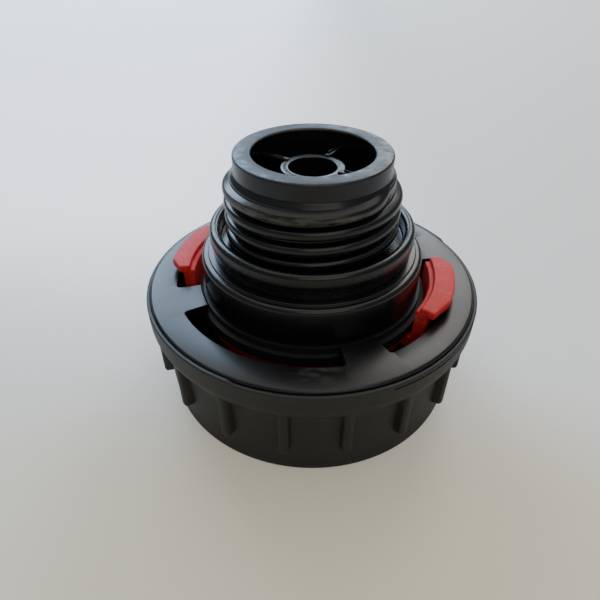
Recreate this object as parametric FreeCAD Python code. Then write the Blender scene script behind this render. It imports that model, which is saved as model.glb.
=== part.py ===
"""Screw-in tank cap, standing on its grip with the threaded neck up.

All sizes are millimetres and degrees. The origin is the centre of the grip's flat face,
+Z runs up the cap's axis to the mouth of the neck, and azimuths are counted from +X.
"""
import FreeCAD, Part
import math
import os

from FreeCAD import Vector

# Cap and general clearances
CAP_RADIUS = 45.0
CAP_HEIGHT = 67.5
RUNNING_GAP = 0.6
SEAT_GAP = 0.2
SPIGOT_GAP = 0.1
AXIS = Vector(0, 0, 1)
ORIGIN = Vector(0, 0, 0)

# Grip: a moulded cup with a ribbed skirt that flares into the rim
GRIP_WALL = 2.5
SKIRT_RADIUS = 42.2
SKIRT_TOP = 19.5
BASE_ROUNDING = 1.2
BAND_BOTTOM = 27.4
RIM_TOP = 31.5
RIM_HIGH_STEP = 0.5
RIM_LIP = 0.95
FACE_RECESS_RADIUS = 34.0
FACE_RECESS_DEPTH = 0.8
RIB_COUNT = 18
RIB_FIRST_AZIMUTH = -97.8
RIB_WIDTH = 2.6
RIB_CREST_RADIUS = 44.1
RIB_BOTTOM = 9.6
RIB_CREST_ROUNDING = 0.7
RIB_TOP = 24.4
BEAD_HEIGHT = 0.9
BEAD_GROOVE_WIDTH = 0.4
BEAD_GROOVE_DEPTH = 0.35
RIM_SECTOR_START = -66.0
BEAD_SECTOR_SPAN = 90.0
LOW_SECTOR_SPAN = 45.0
SPRING_RING_HEIGHT = 4.0
SPRING_RING_WALL = 1.6

# Retaining plate: closes the grip's mouth and carries the four fingers
PLATE_TOP = 32.4
PLATE_THICKNESS = 2.6
PLATE_EDGE_ROUNDING = 0.7
WINDOW_OUTER_RADIUS = 36.9
WINDOW_CORNER_RADIUS = 1.0
FINGER_COUNT = 4
FINGER_FIRST_AZIMUTH = -68.5
FINGER_SPAN = 17.0

# Closure body: neck, collar and lower flange
NECK_LAND_RADIUS = 19.25
NECK_LAND_LENGTH = 4.2
NECK_BORE_RADIUS = 14.8
NECK_ROOT_RADIUS = 20.3
NECK_EDGE_ROUNDING = 0.5
THREAD_CREST_RADIUS = 22.2
THREAD_PITCH = 3.9
THREAD_TURNS = 3.7
THREAD_CREST_WIDTH = 1.3
THREAD_ROOT_WIDTH = 2.9
THREAD_START_AZIMUTH = -18.0
THREAD_TOP_CENTRE = 61.13
THREAD_EMBED = 0.6
COLLAR_RADIUS = 29.2
COLLAR_TOP = 42.4
COLLAR_EDGE_ROUNDING = 1.2
COLLAR_ROOF = 2.6
COLLAR_WALL = 3.0
COLLAR_STEP_HEIGHT = 0.5
COLLAR_STEP_RADIUS = 27.4
HUB_RADIUS = 29.9
HUB_TOP = 31.4
FLANGE_RADIUS = 31.2
FLANGE_THICKNESS = 2.7

# Valve housing: bulkhead, valve skirt and breather tube, set into the neck from below
BULKHEAD_TOP = 31.0
BULKHEAD_THICKNESS = 2.5
HOUSING_SPIGOT_HEIGHT = 2.0
HOUSING_SPIGOT_WALL = 1.6
VALVE_SKIRT_BORE = 17.2
VALVE_SKIRT_BOTTOM = 9.0
TUBE_OUTER_RADIUS = 8.0
TUBE_BORE_RADIUS = 5.85
TUBE_TOP = 63.4
WEB_COUNT = 4
WEB_FIRST_AZIMUTH = -30.0
WEB_THICKNESS = 1.3
WEB_TOP = 63.9
SEAT_BEAD_RADIUS = 7.6
SEAT_BEAD_WIDTH = 1.2
SEAT_BEAD_HEIGHT = 1.0

# Neck gasket: a lip seal that sits on the collar
GASKET_FOOT_HEIGHT = 2.6
GASKET_FOOT_RADIUS = 26.0
GASKET_LIP_RADIUS = 26.5
GASKET_LIP_WIDTH = 2.7
GASKET_TOP = 49.3

# Ratchet between the closure body and the drive ring
TOOTH_COUNT = 24
TOOTH_INNER_RADIUS = 26.9
TOOTH_OUTER_RADIUS = 29.2
TOOTH_HEIGHT = 1.2
TOOTH_STEEP_SPAN = 1.125
RING_TRAVEL = 1.2

# Drive ring and its two hooks
RING_RADIUS = 29.6
RING_THICKNESS = 3.2
HOOK_COUNT = 2
HOOK_START_AZIMUTH = -36.5
HOOK_SPAN = 42.0
HOOK_STEM_INNER = 32.0
HOOK_STEM_OUTER = 35.2
HOOK_HEAD_INNER = 33.2
HOOK_HEAD_OUTER = 38.5
HOOK_HEAD_THICKNESS = 2.2
HOOK_LEDGE_STEP = 0.8
HOOK_CORNER_SPAN = 9.0
HOOK_CORNER_DROP = 2.4
HOOK_EDGE_ROUNDING = 0.35

# Springs
THRUST_SPRING_RADIUS = 27.0
THRUST_SPRING_WIRE = 1.8
THRUST_SPRING_TURNS = 5.5
RELIEF_SPRING_RADIUS = 8.2
RELIEF_SPRING_WIRE = 1.2
RELIEF_SPRING_TURNS = 5.5
VACUUM_SPRING_RADIUS = 2.7
VACUUM_SPRING_WIRE = 0.6
VACUUM_SPRING_TURNS = 5.0
COIL_STEPS_PER_TURN = 16
COIL_SIDES = 6
COIL_CLOSED_PITCH = 1.1
COIL_END_HEIGHT = 0.2

# Combined relief and vacuum valve under the bulkhead
SEAL_RADIUS = 9.6
SEAL_BORE_RADIUS = 2.4
SEAL_THICKNESS = 1.2
RELIEF_PLATE_RADIUS = 11.0
RELIEF_PLATE_THICKNESS = 1.8
RELIEF_RIM_HEIGHT = 1.4
RELIEF_RIM_WALL = 1.2
STEM_HOLE_RADIUS = 1.9
VACUUM_DISC_RADIUS = 4.6
VACUUM_DISC_THICKNESS = 1.4
VACUUM_STEM_RADIUS = 1.5
VACUUM_STEM_LENGTH = 13.0
CLIP_RADIUS = 3.6
CLIP_THICKNESS = 0.9
CLIP_FROM_STEM_END = 1.4
COVER_THICKNESS = 2.2
COVER_REBATE = 0.9
COVER_CENTRE_HOLE_RADIUS = 4.6
COVER_VENT_COUNT = 6
COVER_VENT_RADIUS = 1.6
COVER_VENT_CIRCLE = 12.4
COVER_SPIGOT_HEIGHT = 1.5
COVER_SPIGOT_WALL = 1.2

# Places worked out from the sizes above
PLATE_BOTTOM = PLATE_TOP - PLATE_THICKNESS
PLATE_RADIUS = CAP_RADIUS - RIM_LIP - SPIGOT_GAP
FINGER_INNER_RADIUS = HUB_RADIUS + RUNNING_GAP
FLANGE_TOP = PLATE_BOTTOM - SEAT_GAP
FLANGE_BOTTOM = FLANGE_TOP - FLANGE_THICKNESS
TOOTH_TIP = FLANGE_BOTTOM - TOOTH_HEIGHT
RING_TOP = TOOTH_TIP - SEAT_GAP
RING_BOTTOM = RING_TOP - RING_THICKNESS
RING_BORE_RADIUS = NECK_ROOT_RADIUS + RUNNING_GAP
BULKHEAD_BOTTOM = BULKHEAD_TOP - BULKHEAD_THICKNESS
SEAT_BOTTOM = BULKHEAD_BOTTOM - SEAT_BEAD_HEIGHT
SEAL_BOTTOM = SEAT_BOTTOM - SEAL_THICKNESS
RELIEF_PLATE_BOTTOM = SEAL_BOTTOM - RELIEF_PLATE_THICKNESS
COVER_TOP = VALVE_SKIRT_BOTTOM + COVER_THICKNESS
VACUUM_STEM_END = SEAT_BOTTOM - VACUUM_STEM_LENGTH
CLIP_BOTTOM = VACUUM_STEM_END + CLIP_FROM_STEM_END
SKIRT_INNER_RADIUS = SKIRT_RADIUS - GRIP_WALL
HOOK_HEAD_BOTTOM = PLATE_TOP + RING_TRAVEL + SEAT_GAP
HOOK_LEDGE_TOP = HOOK_HEAD_BOTTOM + HOOK_LEDGE_STEP
HOOK_TOP = HOOK_HEAD_BOTTOM + HOOK_HEAD_THICKNESS


def turned(points):
    """Solid of revolution about the cap's axis from (radius, height) corners."""
    corners = [Vector(radius, 0, height) for radius, height in points]
    face = Part.Face(Part.makePolygon(corners + corners[:1]))
    return face.revolve(ORIGIN, AXIS, 360)


def tube(inner, outer, bottom, top):
    """Plain ring between two radii and two heights."""
    return turned([(inner, bottom), (outer, bottom), (outer, top), (inner, top)])


def disc(radius, bottom, top):
    """Plain disc on the axis."""
    return Part.makeCylinder(radius, top - bottom, Vector(0, 0, bottom))


def sector(inner, outer, bottom, top, start, span):
    """Part of a ring from one azimuth over a span."""
    corners = [Vector(inner, 0, bottom), Vector(outer, 0, bottom), Vector(outer, 0, top), Vector(inner, 0, top)]
    block = Part.Face(Part.makePolygon(corners + corners[:1])).revolve(ORIGIN, AXIS, span)
    return turned_to(block, start)


def turned_to(shape, azimuth):
    """Copy of a shape turned about the cap's axis."""
    copy = shape.copy()
    copy.rotate(ORIGIN, AXIS, azimuth)
    return copy


def around(shape, count, first=0.0):
    """Copies of a shape spaced evenly about the axis."""
    return [turned_to(shape, first + index * 360.0 / count) for index in range(count)]


def round_rings(shape, size, spots):
    """Round the full-circle edges that lie at the given (radius, height) spots."""
    rings = []
    for edge in shape.Edges:
        if not isinstance(edge.Curve, Part.Circle) or not edge.isClosed():
            continue
        for radius, height in spots:
            level = abs(edge.Curve.Center.z - height) < 1e-3
            if level and abs(edge.Curve.Radius - radius) < 1e-3:
                rings.append(edge)
    return shape.makeFillet(size, rings)


def swept_helix(radius, pitch, height, profile):
    """Sweep a closed profile wire, which stands at azimuth 0, up a helix."""
    helix = Part.makeHelix(pitch, height, radius)
    pipe = Part.Wire(helix.Edges).makePipeShell([profile], True, True)
    return pipe


def coil_spring(radius, wire, turns, bottom, top):
    """Compression spring with close, flat-ground end turns, as a coil of flat facets."""
    end_height = COIL_END_HEIGHT * wire
    closed_rise = COIL_CLOSED_PITCH * wire
    open_rise = (top - bottom - 2 * end_height - 2 * closed_rise) / (turns - 2)
    steps = round(turns * COIL_STEPS_PER_TURN)
    rings = []
    for step in range(steps + 1):
        turn = step / COIL_STEPS_PER_TURN
        centre = bottom + end_height + closed_rise * min(turn, 1.0)
        centre += open_rise * min(max(turn - 1.0, 0.0), turns - 2)
        centre += closed_rise * max(turn - turns + 1.0, 0.0)
        azimuth = 2 * math.pi * turn
        ring = []
        for side in range(COIL_SIDES):
            angle = 2 * math.pi * (side + 0.5) / COIL_SIDES
            reach = radius + wire / 2 * math.cos(angle)
            height = min(max(centre + wire / 2 * math.sin(angle), bottom), top)
            ring.append(Vector(reach * math.cos(azimuth), reach * math.sin(azimuth), height))
        rings.append(ring)
    faces = []
    for ring in (rings[0], rings[-1]):
        faces.append(Part.Face(Part.makePolygon(ring + ring[:1])))
    for lower, upper in zip(rings, rings[1:]):
        for side in range(COIL_SIDES):
            following = (side + 1) % COIL_SIDES
            first = [lower[side], lower[following], upper[following]]
            second = [lower[side], upper[following], upper[side]]
            for corners in (first, second):
                faces.append(Part.Face(Part.makePolygon(corners + corners[:1])))
    shell = Part.makeShell(faces)
    coil = Part.makeSolid(shell)
    if coil.Volume < 0:
        coil.reverse()
    return coil


def ratchet_tooth(root, tip, lean):
    """One saw tooth, wider at its outer end, whose steep flank lies on the side that lean names."""
    half = 180.0 / TOOTH_COUNT
    apex = lean * (half - TOOTH_STEEP_SPAN)
    faces = []
    for radius in (TOOTH_INNER_RADIUS, TOOTH_OUTER_RADIUS):
        corners = []
        for azimuth, height in ((-half, root), (half, root), (apex, tip)):
            turn = math.radians(azimuth)
            corners.append(Vector(radius * math.cos(turn), radius * math.sin(turn), height))
        faces.append(Part.makePolygon(corners + corners[:1]))
    return Part.makeLoft(faces, True, True)


def flare_points(steps=6):
    """Outer line of the skirt's flare: two equal arcs that meet half way."""
    rise = BAND_BOTTOM - SKIRT_TOP
    reach = CAP_RADIUS - SKIRT_RADIUS
    radius = (reach ** 2 + rise ** 2) / (4 * reach)
    turn = math.asin(rise / 2 / radius)
    points = []
    for index in range(steps + 1):
        angle = turn * index / steps
        points.append((SKIRT_RADIUS + radius * (1 - math.cos(angle)), SKIRT_TOP + radius * math.sin(angle)))
    for index in range(1, steps + 1):
        angle = turn * (1 - index / steps)
        points.append((CAP_RADIUS - radius * (1 - math.cos(angle)), BAND_BOTTOM - radius * math.sin(angle)))
    return points


def grip_rib():
    """One finger rib: flat crest with rounded edges and a round lower end."""
    depth = RIB_CREST_RADIUS - SKIRT_INNER_RADIUS - GRIP_WALL / 2
    start = RIB_CREST_RADIUS - depth
    height = RIB_TOP - RIB_BOTTOM - RIB_WIDTH / 2
    bottom = Part.makeCylinder(RIB_WIDTH / 2, depth, Vector(start, 0, RIB_BOTTOM + RIB_WIDTH / 2), Vector(1, 0, 0))
    corner = Vector(start, -RIB_WIDTH / 2, RIB_BOTTOM + RIB_WIDTH / 2)
    bar = Part.makeBox(depth, RIB_WIDTH, height, corner)
    rib = bottom.fuse(bar).removeSplitter()
    crest = []
    for edge in rib.Edges:
        box = edge.BoundBox
        at_crest = box.XMin > RIB_CREST_RADIUS - 1e-3
        if at_crest and box.ZMin < RIB_BOTTOM + RIB_WIDTH and box.YLength < RIB_WIDTH + 1e-3:
            crest.append(edge)
    return rib.makeFillet(RIB_CREST_ROUNDING, crest)


def grip():
    """Moulded cup: face, ribbed skirt, flare and the stepped rim that holds the plate."""
    high_top = RIM_TOP + RIM_HIGH_STEP
    mouth_radius = CAP_RADIUS - RIM_LIP
    inner_top = CAP_RADIUS - GRIP_WALL - RIM_LIP
    outline = [(0, 0), (SKIRT_RADIUS, 0)]
    outline += flare_points()
    outline += [
        (CAP_RADIUS, high_top),
        (mouth_radius, high_top),
        (mouth_radius, PLATE_BOTTOM),
        (inner_top, PLATE_BOTTOM),
        (inner_top, BAND_BOTTOM - GRIP_WALL),
        (SKIRT_INNER_RADIUS, SKIRT_TOP),
        (SKIRT_INNER_RADIUS, GRIP_WALL),
        (0, GRIP_WALL),
    ]
    cup = turned(outline)
    cup = round_rings(cup, BASE_ROUNDING, [(SKIRT_RADIUS, 0)])
    ring_outer = THRUST_SPRING_RADIUS - THRUST_SPRING_WIRE / 2 - RUNNING_GAP
    ring_top = GRIP_WALL + SPRING_RING_HEIGHT
    spring_ring = tube(ring_outer - SPRING_RING_WALL, ring_outer, GRIP_WALL / 2, ring_top)
    cup = cup.multiFuse(around(grip_rib(), RIB_COUNT, RIB_FIRST_AZIMUTH) + [spring_ring])
    cuts = [disc(FACE_RECESS_RADIUS, 0, FACE_RECESS_DEPTH)]
    clear = CAP_RADIUS + 1
    groove_top = RIM_TOP - BEAD_HEIGHT
    groove_bottom = groove_top - BEAD_GROOVE_WIDTH
    groove_floor = CAP_RADIUS - BEAD_GROOVE_DEPTH
    low_span = BEAD_SECTOR_SPAN + LOW_SECTOR_SPAN
    for side in (0.0, 180.0):
        bead_start = RIM_SECTOR_START + side
        low_start = bead_start - LOW_SECTOR_SPAN
        cuts.append(sector(mouth_radius - 1, clear, RIM_TOP, high_top + 1, low_start, low_span))
        cuts.append(sector(groove_floor, clear, groove_bottom, groove_top, bead_start, BEAD_SECTOR_SPAN))
    return cup.cut(cuts).removeSplitter()


def retaining_plate():
    """Flat ring with four windows that leave four fingers round the closure body."""
    plate = tube(FINGER_INNER_RADIUS, PLATE_RADIUS, PLATE_BOTTOM, PLATE_TOP)
    plate = round_rings(plate, PLATE_EDGE_ROUNDING, [(PLATE_RADIUS, PLATE_TOP)])
    window_span = 360.0 / FINGER_COUNT - FINGER_SPAN
    window = sector(FINGER_INNER_RADIUS - 1, WINDOW_OUTER_RADIUS, PLATE_BOTTOM - 1, PLATE_TOP + 1, 0, window_span)
    corners = []
    for edge in window.Edges:
        box = edge.BoundBox
        upright = box.ZLength > PLATE_THICKNESS
        outer = math.hypot(box.Center.x, box.Center.y) > WINDOW_OUTER_RADIUS - 1e-3
        if upright and outer:
            corners.append(edge)
    window = window.makeFillet(WINDOW_CORNER_RADIUS, corners)
    first = FINGER_FIRST_AZIMUTH + FINGER_SPAN / 2
    return plate.cut(around(window, FINGER_COUNT, first))


def neck_thread():
    """Coarse trapezoid thread with a blunt start near the mouth."""
    inner = NECK_ROOT_RADIUS - THREAD_EMBED
    run = THREAD_PITCH * THREAD_TURNS
    half_root = THREAD_ROOT_WIDTH / 2
    half_crest = THREAD_CREST_WIDTH / 2
    corners = [
        Vector(inner, 0, -half_root),
        Vector(THREAD_CREST_RADIUS, 0, -half_crest),
        Vector(THREAD_CREST_RADIUS, 0, half_crest),
        Vector(inner, 0, half_root),
    ]
    thread = swept_helix(NECK_ROOT_RADIUS, THREAD_PITCH, run, Part.makePolygon(corners + corners[:1]))
    thread.translate(Vector(0, 0, THREAD_TOP_CENTRE - run))
    return turned_to(thread, THREAD_START_AZIMUTH - 360.0 * THREAD_TURNS)


def closure_body():
    """One moulding: open threaded neck, collar and lower flange with teeth."""
    land_bottom = CAP_HEIGHT - NECK_LAND_LENGTH
    lead = NECK_ROOT_RADIUS - NECK_LAND_RADIUS
    pocket_radius = COLLAR_RADIUS - COLLAR_WALL
    pocket_top = COLLAR_TOP - COLLAR_ROOF
    body = turned([
        (NECK_BORE_RADIUS, CAP_HEIGHT),
        (NECK_LAND_RADIUS, CAP_HEIGHT),
        (NECK_LAND_RADIUS, land_bottom),
        (NECK_ROOT_RADIUS, land_bottom - lead),
        (NECK_ROOT_RADIUS, COLLAR_TOP),
        (COLLAR_STEP_RADIUS, COLLAR_TOP),
        (COLLAR_STEP_RADIUS, COLLAR_TOP - COLLAR_STEP_HEIGHT),
        (COLLAR_RADIUS, COLLAR_TOP - COLLAR_STEP_HEIGHT),
        (COLLAR_RADIUS, HUB_TOP),
        (HUB_RADIUS, HUB_TOP),
        (HUB_RADIUS, FLANGE_TOP),
        (FLANGE_RADIUS, FLANGE_TOP),
        (FLANGE_RADIUS, FLANGE_BOTTOM),
        (pocket_radius, FLANGE_BOTTOM),
        (pocket_radius, pocket_top),
        (NECK_ROOT_RADIUS, pocket_top),
        (NECK_ROOT_RADIUS, BULKHEAD_TOP),
        (NECK_BORE_RADIUS, BULKHEAD_TOP),
    ])
    mouth = [(NECK_BORE_RADIUS, CAP_HEIGHT), (NECK_LAND_RADIUS, CAP_HEIGHT)]
    body = round_rings(body, NECK_EDGE_ROUNDING, mouth)
    body = round_rings(body, COLLAR_EDGE_ROUNDING, [(COLLAR_RADIUS, COLLAR_TOP - COLLAR_STEP_HEIGHT)])
    teeth = around(ratchet_tooth(FLANGE_BOTTOM, TOOTH_TIP, 1), TOOTH_COUNT)
    return body.multiFuse(teeth).fuse(neck_thread())


def valve_housing():
    """Bulkhead with a spigot in the neck, a valve skirt below it and a webbed breather tube above it."""
    spigot_radius = NECK_BORE_RADIUS - SPIGOT_GAP
    spigot_inner = spigot_radius - HOUSING_SPIGOT_WALL
    spigot_top = BULKHEAD_TOP + HOUSING_SPIGOT_HEIGHT
    rebate_radius = VALVE_SKIRT_BORE + COVER_REBATE
    body = turned([
        (TUBE_BORE_RADIUS, TUBE_TOP),
        (TUBE_OUTER_RADIUS, TUBE_TOP),
        (TUBE_OUTER_RADIUS, BULKHEAD_TOP),
        (spigot_inner, BULKHEAD_TOP),
        (spigot_inner, spigot_top),
        (spigot_radius, spigot_top),
        (spigot_radius, BULKHEAD_TOP),
        (NECK_ROOT_RADIUS, BULKHEAD_TOP),
        (NECK_ROOT_RADIUS, VALVE_SKIRT_BOTTOM),
        (rebate_radius, VALVE_SKIRT_BOTTOM),
        (rebate_radius, COVER_TOP),
        (VALVE_SKIRT_BORE, COVER_TOP),
        (VALVE_SKIRT_BORE, BULKHEAD_BOTTOM),
        (TUBE_BORE_RADIUS, BULKHEAD_BOTTOM),
    ])
    web_inner = (TUBE_BORE_RADIUS + TUBE_OUTER_RADIUS) / 2
    web_foot = (BULKHEAD_TOP + BULKHEAD_BOTTOM) / 2
    web_corner = Vector(web_inner, -WEB_THICKNESS / 2, web_foot)
    web = Part.makeBox(spigot_radius - web_inner, WEB_THICKNESS, WEB_TOP - web_foot, web_corner)
    web = web.common(disc(spigot_radius, web_foot, WEB_TOP))
    bead_inner = SEAT_BEAD_RADIUS - SEAT_BEAD_WIDTH / 2
    bead_outer = SEAT_BEAD_RADIUS + SEAT_BEAD_WIDTH / 2
    seat = tube(bead_inner, bead_outer, SEAT_BOTTOM, web_foot)
    return body.multiFuse(around(web, WEB_COUNT, WEB_FIRST_AZIMUTH) + [seat])


def neck_gasket():
    """Rubber ring with a flat foot round the neck and one raised lip."""
    foot_top = COLLAR_TOP + GASKET_FOOT_HEIGHT
    lip_inner = GASKET_LIP_RADIUS - GASKET_LIP_WIDTH
    lip_rounding = GASKET_LIP_WIDTH * 0.42
    ring = turned([
        (NECK_ROOT_RADIUS, COLLAR_TOP),
        (GASKET_FOOT_RADIUS, COLLAR_TOP),
        (GASKET_FOOT_RADIUS, foot_top),
        (GASKET_LIP_RADIUS, foot_top + 0.6),
        (GASKET_LIP_RADIUS, GASKET_TOP),
        (lip_inner, GASKET_TOP),
        (lip_inner, foot_top),
        (NECK_ROOT_RADIUS, foot_top),
    ])
    return round_rings(ring, lip_rounding, [(GASKET_LIP_RADIUS, GASKET_TOP), (lip_inner, GASKET_TOP)])


def hook():
    """Arc-shaped stem with a stepped head that overhangs the plate and has both outer corners cut."""
    foot = sector(RING_RADIUS - 1.0, HOOK_STEM_OUTER, RING_BOTTOM, RING_TOP, 0, HOOK_SPAN)
    stem = sector(HOOK_STEM_INNER, HOOK_STEM_OUTER, RING_BOTTOM, HOOK_LEDGE_TOP, 0, HOOK_SPAN)
    head = sector(HOOK_HEAD_INNER, HOOK_HEAD_OUTER, HOOK_HEAD_BOTTOM, HOOK_TOP, 0, HOOK_SPAN)
    for corner, inward in ((0.0, HOOK_CORNER_SPAN), (HOOK_SPAN, -HOOK_CORNER_SPAN)):
        points = []
        for radius, azimuth in (
            (HOOK_HEAD_OUTER - HOOK_CORNER_DROP, corner),
            (HOOK_HEAD_OUTER, corner + inward),
            (HOOK_HEAD_OUTER + 3.0, corner + inward / 2),
            (HOOK_HEAD_OUTER + 3.0, corner - inward / 4),
        ):
            turn = math.radians(azimuth)
            points.append(Vector(radius * math.cos(turn), radius * math.sin(turn), HOOK_HEAD_BOTTOM - 1))
        wedge = Part.Face(Part.makePolygon(points + points[:1]))
        head = head.cut(wedge.extrude(Vector(0, 0, HOOK_TOP - HOOK_HEAD_BOTTOM + 2)))
    top_edges = [edge for edge in head.Edges if edge.BoundBox.ZMin > HOOK_TOP - 1e-3]
    head = head.makeFillet(HOOK_EDGE_ROUNDING, top_edges)
    return foot.multiFuse([stem, head]).removeSplitter()


def drive_ring():
    """Toothed ring under the closure body's flange with two hooks that stand up through the windows."""
    ring = tube(RING_BORE_RADIUS, RING_RADIUS, RING_BOTTOM, RING_TOP)
    tooth = ratchet_tooth(RING_TOP, RING_TOP + TOOTH_HEIGHT, -1)
    teeth = around(tooth, TOOTH_COUNT, -TOOTH_STEEP_SPAN)
    hooks = around(hook(), HOOK_COUNT, HOOK_START_AZIMUTH)
    return ring.multiFuse(hooks + teeth)


def thrust_spring():
    """Spring that lifts the drive ring into the closure body's teeth."""
    return coil_spring(THRUST_SPRING_RADIUS, THRUST_SPRING_WIRE, THRUST_SPRING_TURNS, GRIP_WALL, RING_BOTTOM)


def valve_seal():
    """Flat rubber washer that closes on the seat bead and carries the vacuum disc."""
    return tube(SEAL_BORE_RADIUS, SEAL_RADIUS, SEAL_BOTTOM, SEAT_BOTTOM)


def relief_valve():
    """Valve plate with a rim that locates its spring."""
    rim_outer = RELIEF_PLATE_RADIUS
    rim_inner = rim_outer - RELIEF_RIM_WALL
    return turned([
        (STEM_HOLE_RADIUS, RELIEF_PLATE_BOTTOM),
        (rim_inner, RELIEF_PLATE_BOTTOM),
        (rim_inner, RELIEF_PLATE_BOTTOM - RELIEF_RIM_HEIGHT),
        (rim_outer, RELIEF_PLATE_BOTTOM - RELIEF_RIM_HEIGHT),
        (rim_outer, SEAL_BOTTOM),
        (STEM_HOLE_RADIUS, SEAL_BOTTOM),
    ])


def relief_spring():
    """Spring between the valve cover and the relief valve."""
    return coil_spring(RELIEF_SPRING_RADIUS, RELIEF_SPRING_WIRE, RELIEF_SPRING_TURNS, COVER_TOP, RELIEF_PLATE_BOTTOM)


def vacuum_valve():
    """Mushroom valve: disc on the washer and a stem through the relief valve."""
    disc_top = SEAT_BOTTOM + VACUUM_DISC_THICKNESS
    return turned([
        (0, VACUUM_STEM_END),
        (VACUUM_STEM_RADIUS, VACUUM_STEM_END),
        (VACUUM_STEM_RADIUS, SEAT_BOTTOM),
        (VACUUM_DISC_RADIUS, SEAT_BOTTOM),
        (VACUUM_DISC_RADIUS, disc_top),
        (0, disc_top),
    ])


def vacuum_spring():
    """Small spring under the relief valve that pulls the vacuum disc down."""
    top = CLIP_BOTTOM + CLIP_THICKNESS
    return coil_spring(VACUUM_SPRING_RADIUS, VACUUM_SPRING_WIRE, VACUUM_SPRING_TURNS, top, RELIEF_PLATE_BOTTOM)


def spring_clip():
    """Washer clipped on the vacuum valve's stem."""
    return tube(VACUUM_STEM_RADIUS, CLIP_RADIUS, CLIP_BOTTOM, CLIP_BOTTOM + CLIP_THICKNESS)


def valve_cover():
    """Vented disc in the end of the valve skirt, with a spigot inside the relief spring."""
    cover_radius = VALVE_SKIRT_BORE + COVER_REBATE - SPIGOT_GAP
    cover = tube(COVER_CENTRE_HOLE_RADIUS, cover_radius, VALVE_SKIRT_BOTTOM, COVER_TOP)
    spigot_outer = RELIEF_SPRING_RADIUS - RELIEF_SPRING_WIRE / 2 - RUNNING_GAP / 2
    spigot = tube(spigot_outer - COVER_SPIGOT_WALL, spigot_outer, COVER_TOP - 0.5, COVER_TOP + COVER_SPIGOT_HEIGHT)
    vent = Part.makeCylinder(COVER_VENT_RADIUS, COVER_THICKNESS + 2, Vector(COVER_VENT_CIRCLE, 0, VALVE_SKIRT_BOTTOM - 1))
    return cover.fuse(spigot).cut(around(vent, COVER_VENT_COUNT))


PIECES = (
    grip,
    retaining_plate,
    closure_body,
    valve_housing,
    neck_gasket,
    drive_ring,
    thrust_spring,
    valve_seal,
    relief_valve,
    relief_spring,
    vacuum_valve,
    vacuum_spring,
    spring_clip,
    valve_cover,
)


def main():
    """Build every piece and write it to its own file."""
    os.makedirs("parts", exist_ok=True)
    for piece in PIECES:
        shape = piece()
        solids = shape.Solids
        print(piece.__name__, "solids", len(solids), "valid", shape.isValid(), "volume", round(shape.Volume, 1))
        result = solids[0] if len(solids) == 1 else shape
        result.exportStep(os.path.join("parts", piece.__name__ + ".step"))


main()
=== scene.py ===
"""Screw-in tank cap standing on its grip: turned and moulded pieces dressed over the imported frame.

Shapes are worked out in millimetres and degrees, azimuths counted from +X, and each finished
mesh is scaled to metres. The origin is the centre of the grip's flat face.
"""
from __future__ import annotations

import logging
import math
from dataclasses import dataclass
from enum import Enum
from typing import Iterable, Sequence

import bmesh
import bpy
from bmesh.types import BMEdge, BMesh, BMVert
from bpy.types import Material, Node, NodeSocket, Object
from mathutils import Matrix, Vector

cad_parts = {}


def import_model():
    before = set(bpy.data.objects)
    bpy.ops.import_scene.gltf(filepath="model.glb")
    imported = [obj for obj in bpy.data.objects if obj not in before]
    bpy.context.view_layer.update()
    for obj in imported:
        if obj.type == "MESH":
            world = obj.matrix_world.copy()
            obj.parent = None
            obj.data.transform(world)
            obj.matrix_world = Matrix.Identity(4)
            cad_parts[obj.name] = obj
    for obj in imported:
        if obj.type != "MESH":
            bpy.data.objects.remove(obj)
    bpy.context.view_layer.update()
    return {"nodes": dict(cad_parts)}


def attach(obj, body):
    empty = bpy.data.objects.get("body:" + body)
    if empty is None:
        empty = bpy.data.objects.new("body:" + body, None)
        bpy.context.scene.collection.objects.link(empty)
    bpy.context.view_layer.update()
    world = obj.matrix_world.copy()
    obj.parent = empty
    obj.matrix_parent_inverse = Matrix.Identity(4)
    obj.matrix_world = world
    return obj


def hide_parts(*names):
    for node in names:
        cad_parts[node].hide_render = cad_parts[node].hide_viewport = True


LOG = logging.getLogger("tank_cap")
METRES_PER_MM = 0.001
AXIS = Vector((0.0, 0.0, 1.0))
WELD_DISTANCE = 1e-4
CAP_RADIUS = 45.0
TURNING_SECTORS = 20

Corner = tuple[float, float, float]
Colour = tuple[float, float, float]
Range = tuple[float, float]


class Body(Enum):
    """Moving bodies of the frame."""

    GRIP = "grip_shell"
    CLOSURE = "closure"
    RATCHET = "ratchet"


class Slot(Enum):
    """Finishes that the record names."""

    GRIP = "grip_plastic"
    PLATE = "plate_plastic"
    NECK = "neck_plastic"
    GASKET = "gasket_rubber"
    RED = "red_plastic"
    VALVE = "valve_plastic"
    STEEL = "spring_steel"


def smoothstep(low: float, high: float, value: float) -> float:
    """Ease from 0 at low to 1 at high.

    Args:
        low: value at which the result leaves 0.
        high: value at which the result reaches 1.
        value: where to read the ease.

    Returns:
        A number from 0 to 1.
    """
    share = min(max((value - low) / (high - low), 0.0), 1.0)
    return share * share * (3.0 - 2.0 * share)


def azimuth_of(place: Vector) -> float:
    """Azimuth of a point in degrees, from -180 to 180."""
    return math.degrees(math.atan2(place.y, place.x))


def turn_from(start: float, azimuth: float) -> float:
    """Degrees from one azimuth on to another, from 0 to 360."""
    return (azimuth - start) % 360.0


def heading(azimuth: float) -> Vector:
    """Level unit vector at an azimuth in degrees."""
    turn = math.radians(azimuth)
    return Vector((math.cos(turn), math.sin(turn), 0.0))


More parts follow.
